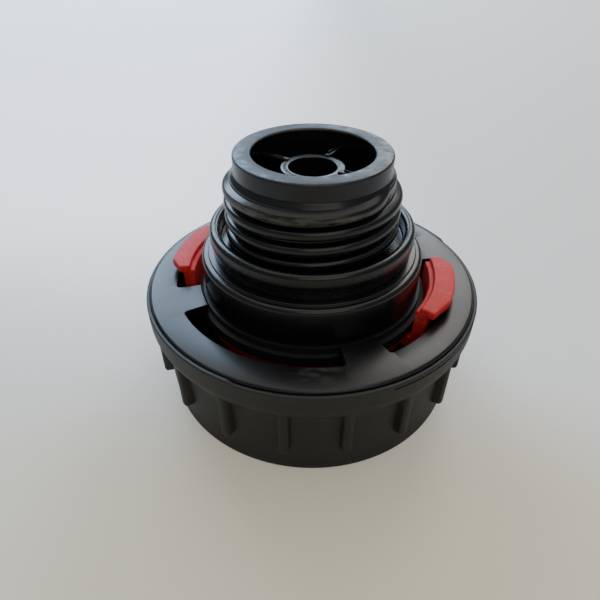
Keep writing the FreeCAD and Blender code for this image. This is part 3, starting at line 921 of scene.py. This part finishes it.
@dataclass
class Closure(Part):
    """Open threaded neck, collar and toothed flange in one moulding."""

    piece = Piece("threaded_neck", "closure_body", Body.CLOSURE, Slot.NECK, 32.0)
    steps: int = 480
    mouth_top: float = 67.5
    land_radius: float = 19.25
    land_length: float = 4.2
    bore_radius: float = 14.8
    root_radius: float = 20.3
    thread_crest: float = 22.2
    thread_pitch: float = 3.9
    thread_turns: float = 3.7
    thread_top: float = 61.13
    thread_start: float = -18.0
    crest_width: float = 1.9
    root_width: float = 3.4
    collar_radius: float = 29.2
    collar_top: float = 42.4
    collar_step: float = 0.5
    step_radius: float = 27.4
    hub_radius: float = 29.9
    hub_top: float = 31.4
    flange_radius: float = 31.2
    flange_top: float = 29.6
    flange_bottom: float = 26.9
    wall_bottom: float = 31.0
    run_in: float = 42.0
    collar_wall: float = 3.0
    collar_roof: float = 2.6
    thread_steps: int = 160
    thread_embed: float = 0.4
    thread_flare: float = 0.1
    thread_rounding: float = 0.7

    def body(self) -> BMesh:
        """The turned part."""
        land = self.mouth_top - self.land_length
        lead = self.root_radius - self.land_radius
        pocket = self.collar_radius - self.collar_wall
        pocket_top = self.collar_top - self.collar_roof
        shoulder = self.collar_top - self.collar_step
        corners = [
            (self.bore_radius, self.mouth_top, 0.6), (self.land_radius, self.mouth_top, 0.55),
            (self.land_radius, land, 0.3), (self.root_radius, land - lead, 0.3),
            (self.root_radius, self.collar_top, 0.25), (self.step_radius, self.collar_top, 0.2),
            (self.step_radius, shoulder, 0.15), (self.collar_radius, shoulder, 1.2),
            (self.collar_radius, self.hub_top, 0.0), (self.hub_radius, self.hub_top, 0.0),
            (self.hub_radius, self.flange_top, 0.0), (self.flange_radius, self.flange_top, 0.0),
            (self.flange_radius, self.flange_bottom, 0.0), (pocket, self.flange_bottom, 0.0),
            (pocket, pocket_top, 0.4), (self.root_radius, pocket_top, 0.4),
            (self.root_radius, self.wall_bottom, 0.0), (self.bore_radius, self.wall_bottom, 0.0),
        ]
        return turned(corners, self.steps, 5)

    def thread(self) -> BMesh:
        """Rounded ridge wound round the neck, tapered at its top end."""
        inner = self.root_radius - self.thread_embed
        flare = self.root_radius + self.thread_flare
        half_root = self.root_width / 2.0
        half_crest = self.crest_width / 2.0
        rise = self.thread_pitch * self.thread_turns
        low = self.thread_top - rise
        corners = [
            (inner, low - half_root - self.thread_flare, 0.0),
            (flare, low - half_root + self.thread_flare, 0.0),
            (self.thread_crest, low - half_crest, self.thread_rounding),
            (self.thread_crest, low + half_crest, self.thread_rounding),
            (flare, low + half_root - self.thread_flare, 0.0),
            (inner, low + half_root + self.thread_flare, 0.0),
        ]
        span = 360.0 * self.thread_turns
        first = self.thread_start - span
        steps = round(self.thread_steps * self.thread_turns)
        mesh = sector_of(corners, first, span, steps, rise, 5)
        for vert in mesh.verts:
            turned_by = turn_from(first, azimuth_of(vert.co))
            turns = max(round(((vert.co.z - low) / self.thread_pitch) - turned_by / 360.0), 0)
            left = span - turned_by - 360.0 * turns
            radius = vert.co.xy.length
            ease = smoothstep(-1.0, self.run_in, left)
            wanted = inner + (radius - inner) * ease
            vert.co.x *= wanted / radius
            vert.co.y *= wanted / radius
        return mesh

    def shape(self) -> BMesh:
        """Turned part, thread and teeth."""
        return join([self.body(), self.thread(), SawTeeth().build(self.flange_bottom, -1.0, 0.0)])


@dataclass
class ValveHousing(Part):
    """Bulkhead set into the neck, with a valve skirt below it and a webbed breather tube above it."""

    piece = Piece("breather_housing", "valve_housing", Body.CLOSURE, Slot.NECK, 40.0)
    steps: int = 200
    spigot_radius: float = 14.7
    spigot_wall: float = 1.6
    spigot_height: float = 2.0
    outer_radius: float = 20.3
    bulkhead_top: float = 31.0
    bulkhead_bottom: float = 28.5
    seat_inner: float = 7.0
    seat_outer: float = 8.2
    seat_height: float = 1.0
    skirt_bore: float = 17.2
    skirt_bottom: float = 9.0
    cover_seat: float = 11.2
    cover_rebate: float = 0.9
    tube_radius: float = 8.0
    tube_bore: float = 5.85
    tube_top: float = 63.5
    web_top: float = 63.9
    web_width: float = 1.3
    web_first: float = -30.0
    web_count: int = 4
    web_embed: float = 0.5
    web_rounding: float = 0.3
    flash_inset: float = 2.4
    flash_width: float = 0.18
    flash_height: float = 0.5
    flash_offset: float = 0.364
    flash_rise: float = 0.1
    flash_rounding: float = 0.06

    def body(self) -> BMesh:
        """The turned part."""
        spigot_inner = self.spigot_radius - self.spigot_wall
        spigot_top = self.bulkhead_top + self.spigot_height
        seat = self.bulkhead_bottom - self.seat_height
        rebate = self.skirt_bore + self.cover_rebate
        corners = [
            (self.tube_bore, self.tube_top, 0.35), (self.tube_radius, self.tube_top, 0.45),
            (self.tube_radius, self.bulkhead_top, 0.4), (spigot_inner, self.bulkhead_top, 0.4),
            (spigot_inner, spigot_top, 0.2), (self.spigot_radius, spigot_top, 0.2),
            (self.spigot_radius, self.bulkhead_top, 0.0), (self.outer_radius, self.bulkhead_top, 0.0),
            (self.outer_radius, self.skirt_bottom, 0.3), (rebate, self.skirt_bottom, 0.0),
            (rebate, self.cover_seat, 0.0), (self.skirt_bore, self.cover_seat, 0.0),
            (self.skirt_bore, self.bulkhead_bottom, 0.3), (self.seat_outer, self.bulkhead_bottom, 0.0),
            (self.seat_outer, seat, 0.3), (self.seat_inner, seat, 0.3),
            (self.seat_inner, self.bulkhead_bottom, 0.0), (self.tube_bore, self.bulkhead_bottom, 0.0),
        ]
        return turned(corners, self.steps, 4)

    def webs(self) -> BMesh:
        """Four bars from the tube to the neck's wall, each with thin flash along its top."""
        inner = (self.tube_bore + self.tube_radius) / 2.0
        outer = self.spigot_radius
        middle = (inner + outer) / 2.0
        low = self.bulkhead_top - self.web_embed
        size = Vector((outer - inner, self.web_width, self.web_top - low))
        web = bar(size, Vector((middle, 0.0, (self.web_top + low) / 2.0)), self.web_rounding)
        flash_size = Vector((outer - inner - self.flash_inset, self.flash_width, self.flash_height))
        flash_centre = Vector((middle, self.flash_offset, self.web_top + self.flash_rise))
        flash = bar(flash_size, flash_centre, self.flash_rounding)
        mesh = join([web, flash])
        turn_mesh(mesh, self.web_first)
        repeat_round(mesh, self.web_count)
        return mesh

    def shape(self) -> BMesh:
        """Turned part and webs."""
        return join([self.body(), self.webs()])


@dataclass
class LipGasket(Part):
    """Rubber ring with a flat foot and a full round lip."""

    piece = Piece("lip_gasket", "neck_gasket", Body.CLOSURE, Slot.GASKET, 40.0)
    steps: int = 360
    inner_radius: float = 20.35
    foot_radius: float = 26.0
    foot_bottom: float = 42.4
    foot_top: float = 45.0
    lip_outer: float = 26.5
    lip_inner: float = 23.8
    lip_top: float = 49.3

    def shape(self) -> BMesh:
        """Foot and lip turned together."""
        corners = [
            (self.inner_radius, self.foot_bottom, 0.0), (self.foot_radius, self.foot_bottom, 0.3),
            (self.foot_radius + 0.05, self.foot_top - 0.4, 0.8),
            (self.lip_outer, self.foot_top + 0.9, 0.8), (self.lip_outer, self.lip_top, 1.33),
            (self.lip_inner, self.lip_top, 1.33), (self.lip_inner, self.foot_top, 0.4),
            (self.inner_radius, self.foot_top, 0.0),
        ]
        return turned(corners, self.steps, 7)


@dataclass
class DriveRing(Part):
    """Red toothed ring with two hooks that stand up through the windows."""

    piece = Piece("hooked_ring", "drive_ring", Body.RATCHET, Slot.RED, 32.0)
    bore: float = 20.9
    radius: float = 29.6
    top: float = 25.5
    bottom: float = 22.3
    ring_steps: int = 180
    hook_start: float = -36.5
    hook_span: float = 42.0
    stem_inner: float = 32.0
    stem_outer: float = 35.2
    ledge_top: float = 34.6
    head_inner: float = 33.2
    head_outer: float = 38.5
    head_bottom: float = 33.8
    head_top: float = 36.0
    hook_steps: int = 42
    hook_embed: float = 1.0
    front_cut: float = 10.5
    front_drop: float = 1.6
    back_cut: float = 6.0
    back_drop: float = 2.5
    edge_rounding: float = 0.38

    def hook(self) -> BMesh:
        """One hook with its outer corners cut and its edges rounded."""
        foot = self.radius - self.hook_embed
        corners = [
            (foot, self.bottom, 0.0), (self.stem_outer, self.bottom, 0.0),
            (self.stem_outer, self.head_bottom, 0.0), (self.head_outer, self.head_bottom, 0.0),
            (self.head_outer, self.head_top, 0.0), (self.head_inner, self.head_top, 0.0),
            (self.head_inner, self.ledge_top, 0.0), (self.stem_inner, self.ledge_top, 0.0),
            (self.stem_inner, self.top, 0.0), (foot, self.top, 0.0),
        ]
        mesh = sector_of(corners, 0.0, self.hook_span, self.hook_steps)
        self.cut_corner(mesh, 0.0, self.front_cut, self.front_drop)
        self.cut_corner(mesh, self.hook_span, self.hook_span - self.back_cut, self.back_drop)
        edges = [e for e in sharp_edges(mesh, 38.0) if max(v.co.z for v in e.verts) > self.head_bottom - 0.1]
        bevel(mesh, edges, self.edge_rounding, 3)
        return mesh

    def cut_corner(self, mesh: BMesh, end: float, inner: float, drop: float) -> None:
        """Cut one outer corner off the head.

        Args:
            mesh: hook to cut.
            end: azimuth of the hook's end.
            inner: azimuth at which the cut reaches the full radius.
            drop: how far the cut draws the outer radius in at the end.
        """
        first = heading(end) * (self.head_outer - drop)
        second = heading(inner) * self.head_outer
        outward = (second - first).cross(AXIS).normalized()
        if outward.dot(first) < 0.0:
            outward.negate()
        geom = mesh.verts[:] + mesh.edges[:] + mesh.faces[:]
        bmesh.ops.bisect_plane(
            mesh, geom=geom, plane_co=first, plane_no=outward, dist=WELD_DISTANCE, clear_outer=True
        )
        rim = [edge for edge in mesh.edges if edge.is_boundary]
        bmesh.ops.holes_fill(mesh, edges=rim, sides=0)
        close_mesh(mesh)

    def shape(self) -> BMesh:
        """Ring, hooks and teeth."""
        corners = [
            (self.bore, self.bottom, 0.2), (self.radius, self.bottom, 0.2),
            (self.radius, self.top, 0.2), (self.bore, self.top, 0.2),
        ]
        ring = turned(corners, self.ring_steps, 2)
        hooks = self.hook()
        turn_mesh(hooks, self.hook_start)
        repeat_round(hooks, 2)
        teeth = SawTeeth()
        saw = teeth.build(self.top, 1.0, -teeth.steep)
        return join([ring, hooks, saw])


@dataclass(frozen=True)
class SoftBox:
    """Rectangular lamp aimed at the cap."""

    name: str
    azimuth: float
    elevation: float
    distance: float
    size: tuple[float, float]
    radiance: float
    colour: Colour

    def build(self) -> None:
        """Hang the lamp, its azimuth counted from +Y to the right."""
        height = math.radians(self.elevation)
        away = heading(90.0 - self.azimuth) * math.cos(height) + AXIS * math.sin(height)
        lamp = bpy.data.lights.new(self.name, "AREA")
        lamp.shape = "RECTANGLE"
        lamp.size, lamp.size_y = self.size
        lamp.color = self.colour
        lamp.energy = self.radiance * math.pi * self.size[0] * self.size[1]
        holder = bpy.data.objects.new(self.name, lamp)
        holder.location = away * self.distance + Vector((0.0, 0.0, 0.03))
        holder.rotation_euler = away.to_track_quat("Z", "Y").to_euler()
        bpy.context.scene.collection.objects.link(holder)


@dataclass
class Studio:
    """Pale floor, soft daylight and the camera."""

    camera_place: Colour = (0.0, -0.11298, 0.11108)
    camera_pitch: float = 38.12
    camera_yaw: float = 1.55
    camera_roll: float = 0.04
    lens: float = 29.44
    sensor: float = 36.0
    floor_size: float = 6.0
    table_colour: Colour = (0.74, 0.735, 0.715)
    # Colour and extra glow of the painted pool of window light behind the cap.
    painted_daylight_colour: Colour = (0.88, 0.91, 0.95)
    # Warm, darker tint of the painted shadow in front of the cap.
    painted_shadow_colour: Colour = (0.64, 0.59, 0.45)
    table_roughness: float = 0.6
    glow: float = 0.36
    painted_daylight_glow: float = 0.6
    sky_colour: Colour = (0.90, 0.94, 1.0)
    sky_strength: float = 0.22

    def place_camera(self) -> None:
        """Put the camera where the photograph was taken from."""
        data = bpy.data.cameras.new("camera")
        data.lens = self.lens
        data.sensor_width = self.sensor
        data.sensor_fit = "HORIZONTAL"
        data.clip_start = 0.005
        camera = bpy.data.objects.new("camera", data)
        camera.location = self.camera_place
        turns = (90.0 - self.camera_pitch, self.camera_roll, self.camera_yaw)
        camera.rotation_euler = [math.radians(turn) for turn in turns]
        bpy.context.scene.collection.objects.link(camera)
        bpy.context.scene.camera = camera

    def lay_floor(self) -> None:
        """Lay the pale table, with a painted bluish pool of window light behind the cap and a painted warm
        shadow in front of it.
        """
        mesh = bmesh.new()
        bmesh.ops.create_grid(mesh, x_segments=1, y_segments=1, size=self.floor_size / 2.0)
        data = bpy.data.meshes.new("table")
        mesh.to_mesh(data)
        mesh.free()
        table = bpy.data.objects.new("table", data)
        bpy.context.scene.collection.objects.link(table)
        data.materials.append(self.floor_material())

    def floor_material(self) -> Material:
        """Matt white laminate, lifted towards white where the camera sees it."""
        shader = Shader("pale_table")
        across, along, _ = shader.axes()
        # Painted pool of window light: behind the cap on the left the table is painted bluish white and glows
        # more.
        painted_daylight_patch = shader.times(shader.ease_mm(along, -20.0, 100.0), shader.ease_mm(across, 80.0, -80.0))
        # Mask of the painted warm shadow of the cap on the table in front of it.
        near = shader.times(
            shader.ease_mm(along, 0.0, -50.0),
            shader.ease_mm(across, -120.0, -40.0),
            shader.ease_mm(across, 150.0, 50.0),
        )
        colour = shader.blend(painted_daylight_patch, self.table_colour, self.painted_daylight_colour)
        # Blend in the painted warm shadow.
        colour = shader.blend(near, colour, self.painted_shadow_colour)
        material = shader.finish(colour, self.table_roughness)
        sight = shader.add("ShaderNodeLightPath", {}).outputs["Is Camera Ray"]
        # The camera-ray glow is lifted further in the painted pool of window light.
        strength = shader.times(shader.plus(self.glow, shader.times(painted_daylight_patch, self.painted_daylight_glow)), sight)
        glow = shader.add("ShaderNodeEmission", {"Color": colour, "Strength": strength})
        total = shader.add("ShaderNodeAddShader", {})
        shader.link(shader.surface.outputs["BSDF"], total.inputs[0])
        shader.link(glow.outputs["Emission"], total.inputs[1])
        shader.link(total.outputs["Shader"], shader.tree.nodes["Material Output"].inputs["Surface"])
        return material

    def light_room(self) -> None:
        """Dim room with cool windows behind on the left and in the middle and a warmer one on the right."""
        world = bpy.data.worlds.new("room")
        world.use_nodes = True
        sky = world.node_tree.nodes["Background"]
        sky.inputs["Color"].default_value = (*self.sky_colour, 1.0)
        sky.inputs["Strength"].default_value = self.sky_strength
        bpy.context.scene.world = world
        boxes = (
            SoftBox("window_left", -26.0, 30.0, 1.4, (0.85, 0.55), 8.0, (0.56, 0.76, 1.0)),
            SoftBox("window_middle", 10.0, 20.0, 1.4, (0.5, 0.3), 6.0, (0.66, 0.83, 1.0)),
            SoftBox("window_right", 24.0, 37.0, 1.4, (0.45, 0.6), 4.0, (1.0, 0.97, 0.9)),
            SoftBox("ceiling", 10.0, 80.0, 1.6, (2.2, 2.2), 0.85, (1.0, 0.97, 0.92)),
            SoftBox("front_fill", 165.0, 40.0, 1.5, (1.2, 0.9), 1.0, (1.0, 0.95, 0.88)),
        )
        for box in boxes:
            box.build()

    def build(self) -> None:
        """Set up camera, floor and light."""
        self.place_camera()
        self.lay_floor()
        self.light_room()


@dataclass(frozen=True)
class HiddenParts:
    """Valves, springs and cover inside the cap, which keep their frame shapes."""

    steel: tuple[str, ...] = ("thrust_spring", "relief_spring", "vacuum_spring", "spring_clip")
    plastic: tuple[str, ...] = ("relief_valve", "vacuum_valve", "valve_cover")
    rubber: tuple[str, ...] = ("valve_seal",)

    def dress(self, nodes: dict[str, Object], steel: Material, rubber: Material) -> None:
        """Give each part its finish.

        Args:
            nodes: the frame's objects by name.
            steel: finish of the springs.
            rubber: finish of the seal.
        """
        grey = MouldedPlastic(
            "valve_moulding", colour=(0.06, 0.06, 0.062), rubbed=(0.12, 0.12, 0.12),
            roughness=0.4, grain_size=0.4, grain_depth=0.008,
        ).material()
        for names, material in ((self.steel, steel), (self.plastic, grey), (self.rubber, rubber)):
            for name in names:
                for holder in nodes[name].material_slots:
                    holder.material = material
                LOG.info("%s: dressed as %s", name, material.name)


def main() -> None:
    """Build the cap and its setting."""
    logging.basicConfig(level=logging.INFO, format="%(name)s %(message)s")
    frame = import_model()
    charcoal = MouldedPlastic(
        "grained_charcoal", colour=(0.017, 0.017, 0.016), rubbed=(0.034, 0.0335, 0.031),
        roughness=0.5, grain_size=0.32, grain_depth=0.03,
    )
    # The red's pale pink rubbed colour is painted glints and sheen of its satin grain, not rubbing.
    red_with_painted_glints = MouldedPlastic(
        "grained_red_with_painted_glints", colour=(0.70, 0.028, 0.028), rubbed=(0.88, 0.13, 0.13),
        roughness=0.5, grain_size=0.3, grain_depth=0.03,
        patch_size=4.0, rub_share=0.8, specular=0.3,
    )
    rubber = SmoothRubber().material()
    Grip().build(charcoal.material())
    RetainingPlate().build(SatinPlate().material())
    neck = GlossyNeck().material()
    Closure().build(neck)
    ValveHousing().build(neck)
    LipGasket().build(rubber)
    DriveRing().build(red_with_painted_glints.material())
    HiddenParts().dress(frame["nodes"], DrawnSteel().material(), rubber)
    Studio().build()


if __name__ == "__main__":
    main()
